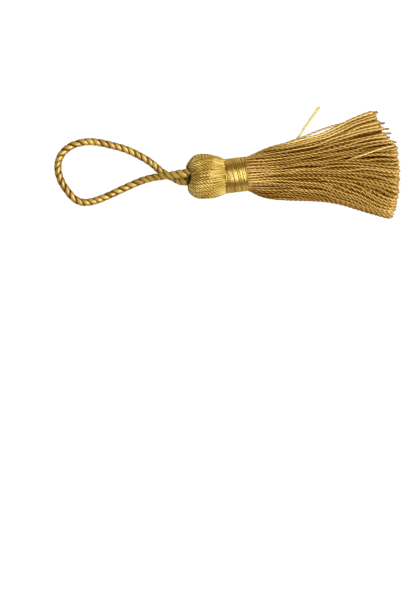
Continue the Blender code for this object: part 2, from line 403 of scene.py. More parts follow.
def sweep(
    paths: Array,
    side: Array,
    profile: Array,
    turn: Values = 0.0,
    scale: Values = 1.0,
    shade: Values = 0.0,
    outward: Optional[Array] = None,
    groove: Optional[Array] = None,
) -> Surface:
    """Carry a closed profile along many paths at once, turning and scaling it on the way.

    Point (i, j, k) is path point j of strand i plus profile point k, turned by turn[i, j], drawn
    along the two directions across the path and scaled by scale[i, j]. Both ends are closed by a
    fan of triangles round the path's own end point. Each strand has its own strip of the map, of
    which MAP_GAP stays free on both sides. The rings lie between MAP_END and 1 - MAP_END, and the
    fans in the first and the last MAP_RIM.

    Args:
        paths: Points as (strands, stations, 3), in mm.
        side: The direction that the profile's first axis points in.
        profile: Points of the profile as (k, 2), in mm, counter-clockwise, or a profile for each
            station as (stations, k, 2) or (strands, stations, k, 2).
        turn: Turn of the profile in radians, as (strands, stations) or a number.
        scale: Size of the profile, as (strands, stations) or a number.
        shade: The strand's own tone plus any painted light or shade, as (strands, stations),
        (strands, 1) or a number.
        outward: Unit directions in which the bundle's surface faces at every path point. Where
        a strand's own surface turns more than 45 degrees away, so that the cosine between
        them falls below VALLEY_FROM, the valley value rises, and the finish paints shade by it.
        groove: How deep each profile point lies, from 0 to 1, where its reach doesn't say.

    Returns:
        The surface, with values along (mm), around (turns), groove and valley (both 0 to 1, the
        masks of the finish's painted shade) and shade.
    """
    strands, stations, _ = paths.shape
    sides = profile.shape[-2]
    across, over = path_frames(paths, side)
    turn, scale, shade = (
        np.broadcast_to(value, (strands, stations))[..., None] for value in (turn, scale, shade)
    )
    cosine, sine = np.cos(turn), np.sin(turn)
    first = (profile[..., 0] * cosine - profile[..., 1] * sine) * scale
    second = (profile[..., 0] * sine + profile[..., 1] * cosine) * scale
    rings = (
        paths[:, :, None]
        + first[..., None] * across[:, :, None]
        + second[..., None] * over[:, :, None]
    )

    def strip(strand: Array, step: Array) -> Array:
        """Height in the map of a step round a strand."""
        return (strand + MAP_GAP + (1.0 - 2.0 * MAP_GAP) * step / sides) / strands

    i, j, k = np.indices((strands, stations - 1, sides))
    base, after = (i * stations + j) * sides, (k + 1) % sides
    quads = np.stack([base + k, base + after, base + sides + after, base + sides + k], axis=-1)
    steps = np.stack([j, j, j + 1, j + 1], axis=-1) / (stations - 1)
    u = MAP_END + (1.0 - 2.0 * MAP_END) * steps
    v = strip(i[..., None], np.stack([k, k + 1, k + 1, k], axis=-1))

    i, k = np.indices((strands, sides))
    after, start = (k + 1) % sides, i * stations * sides
    end, hub = start + (stations - 1) * sides, strands * stations * sides + i
    fans = (
        np.stack([hub, start + after, start + k], axis=-1),
        np.stack([hub + strands, end + k, end + after], axis=-1),
    )
    low, high, middle = strip(i, k), strip(i, k + 1), (i + 0.5) / strands
    hub_u, rim_u = np.zeros_like(low), np.full_like(low, MAP_RIM)
    fan_maps = (
        np.stack([hub_u, middle, rim_u, high, rim_u, low], axis=-1),
        np.stack([1.0 - hub_u, middle, 1.0 - rim_u, low, 1.0 - rim_u, high], axis=-1),
    )

    if groove is None:
        reach = np.linalg.norm(profile, axis=-1)
        groove = (reach.max() - reach) / max(reach.max() - reach.min(), 1e-9)
    valley = np.zeros(rings.shape[:3])
    if outward is not None:
        outward = np.broadcast_to(outward, paths.shape)[:, :, None]
        facing = (unit(rings - paths[:, :, None]) * outward).sum(axis=-1)
        valley = np.clip((VALLEY_FROM - facing) / VALLEY_SPAN, 0.0, 1.0)
    walked = walked_length(paths)[..., None]

    def spread(ring_values: Array, hub_values: Values) -> Array:
        """Values of the rings' points, then of the strands' first and last hubs."""
        hub_values = np.broadcast_to(hub_values, 2 * strands)
        return np.concatenate([np.broadcast_to(ring_values, valley.shape).ravel(), hub_values])

    def at_ends(station_values: Array) -> Array:
        """The first value of every strand, then the last."""
        return np.concatenate([station_values[:, 0, 0], station_values[:, -1, 0]])

    values = {
        "along": spread(walked, at_ends(walked)),
        "around": spread(np.arange(sides) / sides, 0.0),
        "groove": spread(groove, 0.5),
        "valley": spread(valley, 0.0),
        "shade": spread(shade, at_ends(shade)),
    }
    return Surface(
        points=np.concatenate([rings.reshape(-1, 3), paths[:, 0], paths[:, -1]]),
        quads=quads.reshape(-1, 4),
        tris=np.concatenate([fan.reshape(-1, 3) for fan in fans]),
        quad_map=np.stack([u, v], axis=-1).reshape(-1, 4, 2),
        tri_map=np.concatenate([fan_map.reshape(-1, 3, 2) for fan_map in fan_maps]),
        values=values,
    )


def oval_profile(width: float, thickness: float, sides: int) -> Array:
    """An ellipse, measured in mm along the first and the second axis, as (sides, 2)."""
    angle = np.linspace(0.0, TURN, sides, endpoint=False)
    return np.stack([0.5 * width * np.cos(angle), 0.5 * thickness * np.sin(angle)], axis=1)


def plied_profile(diameter: float, waist: Values, sides: int) -> Array:
    """Plies side by side, as rounds with a groove between each two.

    The radius is waist + (1 - waist) * |cos(angle * PLIES / 2)| ** 1.2, times half the diameter.

    Args:
        diameter: Width over the plies, in mm.
        waist: Radius in the grooves as a share of the full one, or an array of such shares.
        sides: Points round the profile.

    Returns:
        The profile as (sides, 2), or as the waists' shape and (sides, 2).
    """
    angle = np.linspace(0.0, TURN, sides, endpoint=False)
    waist = np.asarray(waist)[..., None]
    lobes = np.abs(np.cos(0.5 * PLIES * angle)) ** 1.2
    reach = 0.5 * diameter * (waist + (1.0 - waist) * lobes)
    return np.stack([reach * np.cos(angle), reach * np.sin(angle)], axis=-1)


def add_object(name: str, data: bpy.types.ID) -> bpy.types.Object:
    """Make an object and link it to the scene.

    Args:
        name: Name of the object.
        data: Its mesh, camera or light.

    Returns:
        The new object.
    """
    item = bpy.data.objects.new(name, data)
    bpy.context.scene.collection.objects.link(item)
    return item


def make_piece(name: str, surface: Surface, origin: Array) -> bpy.types.Object:
    """Put a surface into a mesh object that stands at the origin.

    Args:
        name: Name of the piece.
        surface: The surface, in mm from the middle of the neck.
        origin: The middle of the neck in the part's frame, in mm.

    Returns:
        The new object, linked to the scene.
    """
    mesh = bpy.data.meshes.new(name)
    count, quads, tris = len(surface.points), len(surface.quads), len(surface.tris)
    mesh.vertices.add(count)
    mesh.vertices.foreach_set("co", ((surface.points + origin) * MM).astype(np.float32).ravel())
    mesh.loops.add(4 * quads + 3 * tris)
    corners = np.concatenate([surface.quads.ravel(), surface.tris.ravel()])
    mesh.loops.foreach_set("vertex_index", corners.astype(np.int32))
    mesh.polygons.add(quads + tris)
    starts = np.concatenate([4 * np.arange(quads), 4 * quads + 3 * np.arange(tris)])
    mesh.polygons.foreach_set("loop_start", starts.astype(np.int32))
    mesh.update(calc_edges=True)
    for value_name, values in surface.values.items():
        layer = mesh.attributes.new(value_name, "FLOAT", "POINT")
        layer.data.foreach_set("value", values.astype(np.float32))
    uv = np.concatenate([surface.quad_map.reshape(-1, 2), surface.tri_map.reshape(-1, 2)])
    layer = mesh.uv_layers.new(name=BAKE_MAP)
    layer.uv.foreach_set("vector", uv.astype(np.float32).ravel())
    mesh.shade_smooth()
    return add_object(name, mesh)


# ---- Shader expressions and finishes -----------------------------------------------------------


class Expression:
    """A number socket that adds Math nodes when it is used in arithmetic."""

    def __init__(self, graph: "Graph", socket: bpy.types.NodeSocket) -> None:
        """Wrap an output socket of a graph."""
        self.graph, self.socket = graph, socket

    def _math(self, operation: str, *operands: "Operand") -> "Expression":
        """Add one Math node.

        Args:
            operation: The node's operation.
            *operands: Its inputs, in order.

        Returns:
            The node's result.
        """
        inputs = dict(enumerate(operands))
        node = self.graph.node("ShaderNodeMath", {"operation": operation}, inputs)
        return Expression(self.graph, node.outputs[0])

    def __add__(self, other: "Operand") -> "Expression":
        """Sum."""
        return self._math("ADD", self, other)

    def __radd__(self, other: "Operand") -> "Expression":
        """Sum, reflected."""
        return self._math("ADD", other, self)

    def __sub__(self, other: "Operand") -> "Expression":
        """Difference."""
        return self._math("SUBTRACT", self, other)

    def __rsub__(self, other: "Operand") -> "Expression":
        """Difference, reflected."""
        return self._math("SUBTRACT", other, self)

    def __mul__(self, other: "Operand") -> "Expression":
        """Product."""
        return self._math("MULTIPLY", self, other)

    def __rmul__(self, other: "Operand") -> "Expression":
        """Product, reflected."""
        return self._math("MULTIPLY", other, self)

    def clamped(self) -> "Expression":
        """The value held between 0 and 1."""
        return self._math("MINIMUM", self._math("MAXIMUM", self, 0.0), 1.0)


Operand = Union[Expression, Number]


class Graph:
    """A material's node tree, with short ways to add nodes."""

    def __init__(self, material: bpy.types.Material) -> None:
        """Start from an empty tree.

        Args:
            material: The material that the tree belongs to.
        """
        material.use_nodes = True
        self.tree = material.node_tree
        self.tree.nodes.clear()

    def node(self, kind: str, settings: dict, inputs: dict) -> bpy.types.Node:
        """Add a node.

        Args:
            kind: The node's type.
            settings: Properties, set first; a key "stops" fills a colour ramp with pairs of
                place and colour.
            inputs: Values, expressions or sockets by input name or number.

        Returns:
            The node.
        """
        node = self.tree.nodes.new(kind)
        for name, value in settings.items():
            if name == "stops":
                self._fill(node.color_ramp.elements, value)
            else:
                setattr(node, name, value)
        for name, value in inputs.items():
            target = node.inputs[name]
            if isinstance(value, Expression):
                self.tree.links.new(value.socket, target)
            elif isinstance(value, bpy.types.NodeSocket):
                self.tree.links.new(value, target)
            else:
                target.default_value = value
        return node

    @staticmethod
    def _fill(elements: bpy.types.bpy_prop_collection, stops: Sequence[tuple]) -> None:
        """Give a ramp's elements these stops, as (place, colour)."""
        while len(elements) < len(stops):
            elements.new(1.0)
        for element, (place, colour) in zip(elements, stops):
            element.position = place
            element.color = colour

    def value(self, name: str) -> Expression:
        """A per-vertex value of the mesh."""
        node = self.node("ShaderNodeAttribute", {"attribute_name": name}, {})
        return Expression(self, node.outputs["Fac"])

    def vector(self, x: Operand, y: Operand, z: Operand) -> bpy.types.NodeSocket:
        """A vector of three numbers."""
        return self.node("ShaderNodeCombineXYZ", {}, {0: x, 1: y, 2: z}).outputs[0]

    def noise(self, place: bpy.types.NodeSocket, scale: float, detail: float) -> Expression:
        """Noise from 0 to 1."""
        inputs = {"Vector": place, "Scale": scale, "Detail": detail, "Roughness": 0.55}
        return Expression(self, self.node("ShaderNodeTexNoise", {}, inputs).outputs[0])

    def principled(self, inputs: dict) -> bpy.types.NodeSocket:
        """A Principled shader with these inputs."""
        return self.node("ShaderNodeBsdfPrincipled", {}, inputs).outputs[0]

    def end(self, shader: bpy.types.NodeSocket) -> None:
        """End the tree in a shader."""
        self.node("ShaderNodeOutputMaterial", {}, {"Surface": shader})


def linear(red: int, green: int, blue: int) -> Colour:
    """A colour given as screen values from 0 to 255, in linear light.

    Args:
        red: Red, from 0 to 255.
        green: Green, from 0 to 255.
        blue: Blue, from 0 to 255.

    Returns:
        The colour, opaque.
    """
    shares = (c / 255.0 for c in (red, green, blue))
    light = (c / 12.92 if c <= 0.04045 else ((c + 0.055) / 1.055) ** 2.4 for c in shares)
    return (*light, 1.0)


@dataclass(frozen=True)
class SilkFinish:
    """Lustrous silk: fine fibres along the strand, a tint for each strand and painted shade in its
    grooves and gaps.

    Fibre and blotch lengths are steps in the noise for each mm along the strand. A stride is how
    far apart two strands whose shades differ by one lie in the noise, so that no two strands have
    the same fibres or blotches. A rest is the value at which the tone stays as it is.
    """

    name: str
    slot: str
    dark: Colour
    middle: Colour
    light: Colour
    gloss: Colour = (1.0, 0.72, 0.28, 1.0)
    gloss_share: float = 0.12
    gloss_by_shade: float = 0.3
    gloss_lost_in_groove: float = 0.9
    gloss_lost_in_valley: float = 0.6
    roughness: float = 0.32
    body_roughness: float = 0.8
    strand_variation: float = 0.13
    fibre_variation: float = 0.42
    fibre_roughness: float = 0.25
    fibres_around: float = 9.0
    fibre_length: float = 0.22
    fibre_stride: float = 31.0
    fibre_height: float = 0.00004
    fibre_bump: float = 0.6
    # Painted shade in the plies' grooves and in the gaps between strands, and the values at which
    # it leaves the tone as it is.
    groove_painted_shade: float = 0.45
    groove_rest: float = 0.3
    valley_painted_shade: float = 0.0
    valley_rest: float = 0.25
    blotches: float = 0.14
    blotch_length: float = 0.05
    blotch_stride: float = 17.0
    mottle: float = 0.0
    mottle_scale: float = 190.0

    def material(self) -> bpy.types.Material:
        """Make the material.

        A matt body and a metallic gloss are mixed, so that the gloss keeps its tint even at
        grazing angles. The body's colour runs from dark to light with the sum of the strand's own
        shade, which also carries the painted light and shade that the parts add, the fibres, the
        blotches and the mottle, minus the groove and the valley, which is painted shade in grooves
        and gaps, and the gloss fades in both, also as painted shade. Fibres are noise on (along,
        around, shade), drawn out along the strand.

        Returns:
            The material.
        """
        material = bpy.data.materials.new(self.name)
        graph = Graph(material)
        along, around, shade, groove, valley = (
            graph.value(name) for name in ("along", "around", "shade", "groove", "valley")
        )
        grain = graph.vector(
            along * self.fibre_length, around * self.fibres_around, shade * self.fibre_stride
        )
        fibres = graph.noise(grain, scale=3.0, detail=3.0)
        patches = graph.vector(along * self.blotch_length, shade * self.blotch_stride, 0.0)
        blotch = graph.noise(patches, scale=2.0, detail=1.0)
        place = graph.node("ShaderNodeTexCoord", {}, {}).outputs["Object"]
        mottling = graph.noise(place, self.mottle_scale, detail=1.0)
        tone = (
            0.5
            + self.strand_variation * shade
            + self.fibre_variation * (fibres - 0.5)
            + self.blotches * (blotch - 0.5)
            + self.mottle * (mottling - 0.5)
            # Painted shade: the tone falls in the grooves and the valleys.
            - self.groove_painted_shade * (groove - self.groove_rest)
            - self.valley_painted_shade * (valley - self.valley_rest)
        )
        bump = {"Strength": self.fibre_bump, "Distance": self.fibre_height, "Height": fibres}
        bent = graph.node("ShaderNodeBump", {}, bump).outputs[0]
        stops = ((0.0, self.dark), (0.5, self.middle), (1.0, self.light))
        ramp = graph.node("ShaderNodeValToRGB", {"stops": stops}, {"Fac": tone.clamped()})
        body = graph.principled(
            {
                "Base Color": ramp.outputs["Color"],
                "Roughness": self.body_roughness,
                "Specular IOR Level": 0.0,
                "Normal": bent,
            }
        )
        gloss = graph.principled(
            {
                "Base Color": self.gloss,
                "Roughness": (self.roughness + self.fibre_roughness * (0.5 - fibres)).clamped(),
                "Metallic": 1.0,
                "Specular Tint": self.gloss,
                "Normal": bent,
            }
        )
        # Painted shade: the gloss fades in the grooves and the valleys.
        share = self.gloss_share * (
            1.0
            + self.gloss_by_shade * shade
            - self.gloss_lost_in_groove * groove
            - self.gloss_lost_in_valley * valley
        )
        mixed = graph.node("ShaderNodeMixShader", {}, {0: share.clamped(), 1: body, 2: gloss})
        graph.end(mixed.outputs[0])
        return material


YARN_FINISH = SilkFinish(
    "gold_silk_yarn",
    "skein_yarn",
    linear(80, 38, 0),
    linear(111, 74, 9),
    linear(186, 153, 80),
    gloss=(1.0, 0.76, 0.35, 1.0),
    gloss_share=0.09,
    groove_painted_shade=0.6,
    valley_painted_shade=0.42,
)
HEAD_FINISH = SilkFinish(
    "gold_silk_head_yarn",
    "skein_yarn",
    linear(94, 50, 0),
    linear(140, 109, 32),
    linear(206, 180, 106),
    gloss=(1.0, 0.80, 0.34, 1.0),
    gloss_share=0.095,
    strand_variation=0.10,
    groove_painted_shade=0.78,
    valley_painted_shade=0.15,
    mottle=1.0,
)
FLOSS_FINISH = SilkFinish(
    "gold_silk_floss",
    "binding_floss",
    linear(60, 26, 0),
    linear(102, 64, 2),
    linear(146, 106, 24),
    gloss=(1.0, 0.79, 0.26, 1.0),
    gloss_share=0.60,
    strand_variation=0.22,
    groove_painted_shade=0.18,
    fibre_length=0.05,
)
CORD_FINISH = SilkFinish(
    "gold_silk_cord",
    "cord_ply",
    linear(60, 26, 0),
    linear(112, 77, 12),
    linear(170, 140, 66),
    gloss=(1.0, 0.84, 0.44, 1.0),
    gloss_share=0.10,
    fibre_variation=0.30,
    groove_painted_shade=0.6,
    valley_painted_shade=0.40,
    blotches=1.1,
)
STRAY_FINISH = SilkFinish(
    "pale_silk_end",
    "stray_end",
    linear(130, 116, 52),
    linear(168, 156, 92),
    linear(196, 188, 130),
    gloss=(1.0, 0.94, 0.62, 1.0),
    gloss_share=0.05,
    roughness=0.5,
)


# ---- The tassel's parts ------------------------------------------------------------------------


@dataclass
class Dresser:
    """Turns surfaces into pieces of the part and hides the part's solid that each replaces."""

    origin: Array
    materials: dict[str, bpy.types.Material] = field(default_factory=dict)

    def dress(
        self, name: str, surface: Surface, finish: SilkFinish, stands_for: Optional[str] = None
    ) -> bpy.types.Object:
        """Make a piece, give it its finish, and let it ride on the part's body.

        Args:
            name: Name of the piece.
            surface: Its surface in mm.
            finish: Its finish.
            stands_for: The solid of the part that it replaces, if any.

        Returns:
            The piece.
        """
        piece = make_piece(name, surface, self.origin)
        if finish.name not in self.materials:
            self.materials[finish.name] = finish.material()
        piece.data.materials.append(self.materials[finish.name])
        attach(piece, BODY)
        if stands_for:
            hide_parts(stands_for)
        LOG.info("%s: %d triangles", name, 2 * len(surface.quads) + len(surface.tris))
        return piece


class Outline:
    """The skein's outer form, read between the sections of a table."""

    def __init__(self, sections: Sequence[Section]) -> None:
        """Keep the table's columns as arrays, in order of the path along the form."""
        self.columns = dict(zip(Section._fields, np.array(sections).T))
        self.place = np.arange(len(sections), dtype=float)

    def at(self, place: Array) -> Form:
        """All columns at places counted in sections, such as 2.5 for halfway from 2 to 3."""
        return {name: np.interp(place, self.place, col) for name, col in self.columns.items()}

    def at_x(self, x: Array) -> Form:
        """All columns at stations x, for a table in which x only grows."""
        return self.at(np.interp(x, self.columns["x"], self.place))


def reach_beside(form: Form, y: Array) -> Array:
    """A section's reach on the side that y, or anything with its sign, lies on."""
    return np.where(y > 0.0, form["left"], form["right"])


def height_beside(form: Form, z: Array) -> Array:
    """A section's height over its side level where z is above zero, and its depth elsewhere."""
    return np.where(z > 0.0, form["top"] - form["side"], form["side"] - form["foot"])


def levels(form: Form, share: Array) -> tuple[Array, Array]:
    """Top and bottom level of a section.

    The top is an ellipse above the side level; the underside is the side level less its depth
    times the ellipse's height to the power of squareness, cut off at the table.

    Args:
        form: The section.
        share: Place across it as a share of its reach, from -1 to 1.

    Returns:
        The top level and the bottom level.
    """
    rise = np.sqrt(np.clip(1.0 - share * share, 0.0, 1.0))
    top = form["side"] + (form["top"] - form["side"]) * rise
    depth = (form["side"] - form["foot"]) * rise ** form["squareness"]
    return top, np.maximum(form["side"] - depth, 0.0)


@dataclass
class Hank:
    """Yarns of the skirt, one in each row of every array.

    A course holds x, y, z and how hidden the yarn is, as (yarns, sections, 4). An end is the
    place of the cut, counted in sections, a weight is the yarn's thickness as a share of the
    usual, and a phase is its plies' turn at the neck, in radians.
    """

    courses: Array
    ends: Array
    weight: Array
    shade: Array
    phase: Array
    pitch: Array

    def only(self, rows: Array) -> "Hank":
        """Some of the yarns."""
        return Hank(*(getattr(self, item.name)[rows] for item in fields(self)))


@dataclass
class Skirt:
    """The fanned yarns from the neck to the cut.

    Sizes are in mm. The fades named tip go by what is left to the cut, the ones named neck or
    along by the length walked from the neck, and the ones named corner by y, which is greatest in
    the skirt's left corner. A waist is the yarn's radius between its plies as a share of the full
    one, a light is added to the yarn's shade, and a valley or a groove scales that value, by which
    the finish paints shade between the yarns and between their plies. The light along the left
    edge is painted light, and the light of hidden yarns is painted shade.
    """

    outline: Outline = field(default_factory=lambda: Outline(SKIRT_SECTIONS))
    partings: Sequence[Parting] = SKIRT_PARTINGS
    yarns: int = 154
    diameter: float = 1.15
    pitch: float = 6.1
    bundles: int = 4
    seed: int = 11
    # How much the yarns differ from each other.
    weight_spread: float = 0.16
    weight_limits: tuple[float, float] = (0.68, 1.32)
    shade_spread: float = 0.32
    pitch_limits: tuple[float, float] = (0.85, 1.15)
    # How they are packed in each section: the way they keep their y, sink and swerve.
    neck_x: float = 6.0
    end_x: float = 62.0
    station_step: float = 1.0
    neck_fill: float = 0.97
    keep: Fade = Fade((9.0, 44.0), (0.93, 0.0))
    sink_least: float = 0.03
    sink_drift: float = 0.20
    swerve: float = 0.13
    crowding: float = 1.06
    relaxations: int = 20
    push_share: float = 0.33
    push_limit: float = 0.3
    smoothing: int = 5
    # How the partings run and move them, and how they stray.
    bend: float = 1.7
    parting_width: float = 2.0
    parting_softness: float = 0.25
    stray: float = 0.30
    stray_floor: float = 0.6
    stray_along: Fade = Fade((6.0, 22.0), (0.2, 1.0))
    stray_across: Fade = Fade((0.60, 0.85), (1.0, 0.15))
    # The cut, and the fibres that splay from it.
    cut_line: Fade = SKIRT_CUT
    cut_inset: float = 0.3
    cut_spread: float = 0.35
    cut_limits: tuple[float, float] = (-2.2, 0.9)
    short_corner: Fade = Fade((7.0, 9.5, 17.5, 20.0), (0.0, 1.5, 1.5, 0.0))
    short_least: float = 0.75
    short_spread: float = 0.3
    hairs: int = 8
    hair_stations: int = 4
    hair_start: float = 0.3
    hair_scatter: float = 0.24
    hair_lean: float = 0.20
    hair_growth: float = 0.25
    hair_limits: tuple[float, float] = (0.3, 1.2)
    hair_floor: float = 0.08
    hair_tip: float = 0.6
    # Which yarns come near the surface, and the stations and sides of those and of the others.
    near_depth: float = 1.7
    floor_depth: float = 1.1
    near_fineness: tuple[int, int] = (200, 12)
    deep_fineness: tuple[int, int] = (90, 6)
    # How thickness, waist and light change, with the size by x and the edge by share of the reach.
    swell: Fade = Fade((16.0, 34.0, 50.0), (0.94, 1.04, 1.14))
    tip_swell: Fade = Fade((0.0, 0.5, 5.0), (0.92, 1.20, 1.0))
    tip_waist: Fade = Fade((0.0, 2.6, 24.0), (0.92, 0.66, 0.55))
    neck_waist: Fade = Fade((3.2, 7.0, 17.0), (0.92, 0.80, 0.55))
    corner_waist: Fade = Fade((6.0, 12.0), (0.55, 0.80))
    tip_light: Fade = Fade((0.5, 8.0), (0.45, 0.0))
    # Painted shade: yarns that lie deep under the outline are made darker.
    hidden_depth: Fade = Fade((0.75, 1.55), (0.0, 1.0))
    hidden_painted_shade: float = -0.45
    along_light: Fade = Fade((5.0, 12.0, 26.0, 42.0), (-0.1, 0.0, 0.0, -0.45))
    # Painted light: yarns along the left edge are made lighter, and the painted shade in their
    # gaps weaker.
    edge: Fade = Fade((0.70, 0.95), (0.0, 1.0))
    edge_painted_light: float = 1.3
    corner_light: Fade = Fade((7.0, 13.0, 17.0), (0.0, -0.5, -1.2))
    tip_valley: Fade = Fade((0.5, 6.0), (0.3, 1.0))
    edge_valley: float = -0.6
    neck_valley: Fade = Fade((2.5, 4.5, 8.0, 17.0), (0.3, 2.2, 2.2, 1.1))
    corner_valley: Fade = Fade((7.0, 13.0), (1.0, 0.35))
    corner_groove: Fade = Fade((7.0, 13.0), (1.0, 0.60))
    along_groove: Fade = Fade((26.0, 42.0), (1.0, 0.72))

    def build(self, dresser: Dresser) -> None:
        """Build the skirt in a few bundles, from its right side to its left.

        Yarns that never come near the surface have fewer stations and sides.

        Args:
            dresser: Makes the pieces.
        """
        rng = np.random.default_rng(self.seed)
        packed, heights, spacings, weight = self.packed(rng)
        depth = self.depth(packed)
        beyond_neck = depth[:, 5:]
        near = beyond_neck.min(axis=1) < self.near_depth
        # How hidden each yarn is, the mask of the painted shade on deep yarns.
        hidden = smooth_along(self.hidden_depth.at(depth), 4)
        full = self.strayed(self.parted(packed, heights), rng)
        hank = Hank(
            courses=np.concatenate([full, hidden[..., None]], axis=2),
            ends=self.cut(full, rng),
            weight=weight,
            shade=np.clip(rng.normal(0.0, self.shade_spread, self.yarns), -1.0, 1.0),
            phase=rng.uniform(0.0, math.pi, self.yarns),
            pitch=self.pitch * rng.uniform(*self.pitch_limits, self.yarns),
        )
        size = np.minimum(self.swell.at(self.section_x()), spacings / self.diameter)
        order = np.argsort(full[:, -1, 1])
        for number, members in enumerate(np.array_split(order, self.bundles), start=1):
            parts = []
            for mask, fineness in ((near, self.near_fineness), (~near, self.deep_fineness)):
                parts += self.strands(hank.only(members[mask[members]]), size, fineness, rng)
            dresser.dress(f"skirt_bundle_{number}", Surface.joined(parts), YARN_FINISH, "skein")

    def section_x(self) -> Array:
        """Stations along the axis at which the sections are worked out."""
        return np.arange(SKIRT_SECTIONS[0].x, SKIRT_SECTIONS[-1].x, self.station_step)

    def packed(self, rng: np.random.Generator) -> tuple[Array, Array, Array, Array]:
        """Work out where every yarn lies in every cross-section.

        At the neck the yarns fill a disc as a sunflower's seeds do. From each section to the next
        a yarn keeps its share of the reach and its share of the height there, the partings bend
        the shares sideways, and the yarns are pushed apart until they lie evenly. Near the neck
        the upper yarns keep most of their own y instead, and the lower ones fill the sides.

        Args:
            rng: Source of the yarns' small differences.

        Returns:
            Points as (yarns, sections, 3), shares of the height, the spacing in each section and
            each yarn's own size.
        """
        n = self.yarns
        seeds = np.arange(n)
        weight = np.clip(rng.normal(1.0, self.weight_spread, n), *self.weight_limits)
        reach = self.neck_fill * np.sqrt((seeds + 0.5) / n)
        angle = seeds * GOLDEN_ANGLE
        share = reach * np.cos(angle)
        height = 0.5 + 0.5 * reach * np.sin(angle) / np.sqrt(1.0 - share**2)
        xs = self.section_x()
        form = self.outline.at_x(xs)
        sink = self.sink_least + self.sink_drift * np.abs(wander(rng, n, len(xs), 8))
        swerve = self.swerve * np.gradient(wander(rng, n, len(xs), 12), axis=1)
        guides = self.guides(xs[0])
        points, heights, spacings = [], [], []
        for station, x in enumerate(xs):
            here = {name: float(column[station]) for name, column in form.items()}
            bent = self.guides(x)
            share = np.interp(share, guides, bent)
            guides = bent
            spacing = self.spacing(here)
            place = self.placed(here, share, height)
            # Those in the lowest fifth keep nothing of their y, and those in the highest the most.
            keep = self.keep.at(x) * np.clip(1.6 * height - 0.3, 0.0, 1.0)
            if points:
                place[:, 0] += keep * (points[-1][:, 1] - place[:, 0])
            place[:, 0] += swerve[:, station]
            place = self.pushed_apart(place, spacing * weight, here, sink[:, station], keep)
            y, z = place.T
            share = np.clip(y / reach_beside(here, y), -0.999, 0.999)
            top, bottom = levels(here, share)
            height = (z - bottom) / (top - bottom)
            points.append(np.stack([x - here["bow"] * share**2, y, z], axis=1))
            heights.append(height)
            spacings.append(spacing)
        paths = smooth_along(np.stack(points, axis=1), self.smoothing)
        return paths, np.stack(heights, axis=1), np.array(spacings), weight

    def guides(self, x: float) -> Array:
        """The partings' shares of the reach at station x, between the two sides."""
        shares = [float(self.parting_share(parting, x)) for parting in self.partings]
        return np.array([-1.0, *shares, 1.0])

    def parting_share(self, parting: Parting, x: Values) -> Array:
        """A parting's share of the reach at stations x, drifting more towards the cut."""
        along = np.clip((x - self.neck_x) / (self.end_x - self.neck_x), 0.0, 1.0)
        return parting.neck_share + (parting.end_share - parting.neck_share) * along**self.bend

    def spacing(self, here: dict[str, float]) -> float:
        """Distance between neighbours when the yarns fill a section as a honeycomb.

        Args:
            here: The section.

        Returns:
            The distance, in mm: the root of each yarn's share of the area over HONEYCOMB, which
            is the sine of 60 degrees.
        """
        top, bottom = levels(here, np.linspace(-1.0, 1.0, 101))
        area = float(np.mean(top - bottom)) * (here["left"] + here["right"])
        return math.sqrt(area / (HONEYCOMB * self.yarns))

    @staticmethod
    def placed(here: dict[str, float], share: Array, height: Array) -> Array:
        """Places in a section.

        Args:
            here: The section.
            share: Share of the section's reach, from -1 to 1.
            height: Share of the height that the section has there, from 0 to 1.

        Returns:
            Places (y, z) as (yarns, 2).
        """
        top, bottom = levels(here, share)
        y = share * reach_beside(here, share)
        return np.stack([y, bottom + height * (top - bottom)], axis=1)

    def pushed_apart(
        self, place: Array, spacing: Array, here: dict[str, float], sink: Array, keep: Array
    ) -> Array:
        """Push apart yarns that lie closer than the spacing, and keep them in the outline.

        Args:
            place: Places (y, z) of the yarns.
            spacing: Room of each yarn; neighbours stand the mean of theirs apart.
            here: The section.
            sink: How far each yarn keeps below the outline's top.
            keep: How firmly each yarn keeps its y, from 0 to 1.

        Returns:
            The new places.
        """
        radius = 0.5 * np.minimum(self.diameter, spacing)
        apart = 0.5 * self.crowding * (spacing[:, None] + spacing[None])
        for _ in range(self.relaxations):
            away = place[:, None] - place[None]
            distance = np.sqrt((away**2).sum(axis=2)) + 1e-6
            short = np.clip(apart - distance, 0.0, None)
            np.fill_diagonal(short, 0.0)
            step = (away / distance[..., None] * short[..., None]).sum(axis=1) * self.push_share
            step[:, 0] *= (1.0 - keep) ** 2
            place = place + np.clip(step, -self.push_limit, self.push_limit)
            y = np.clip(place[:, 0], radius - here["right"], here["left"] - radius)
            top, bottom = levels(here, y / reach_beside(here, y))
            low = bottom + radius
            high = np.maximum(top - radius - sink, low)
            place = np.stack([y, np.clip(place[:, 1], low, high)], axis=1)
        return place

    def parted(self, paths: Array, heights: Array) -> Array:
        """Move the yarns beside each parting away from it, those in the upper half alone.

        A yarn at distance a from a parting moves by gape * a / (|a| + softness), fading out over
        the parting's width and growing as the root of the way from the parting's start.

        Args:
            paths: Points as (yarns, sections, 3).
            heights: Shares of the height, from 0 to 1.

        Returns:
            The moved points.
        """
        moved = paths.copy()
        x = paths[..., 0]
        form = self.outline.at_x(x)
        lift = np.clip(2.4 * heights - 1.2, 0.0, 1.0)
        for parting in self.partings:
            share = self.parting_share(parting, x)
            away = paths[..., 1] - share * reach_beside(form, share)
            opened = np.clip((x - parting.start_x) / (self.end_x - parting.start_x), 0.0, 1.0)
            nearness = np.exp(-((away / self.parting_width) ** 2))
            push = parting.gape * np.sqrt(opened) * lift * nearness
            moved[..., 1] += push * away / (np.abs(away) + self.parting_softness)
        return moved

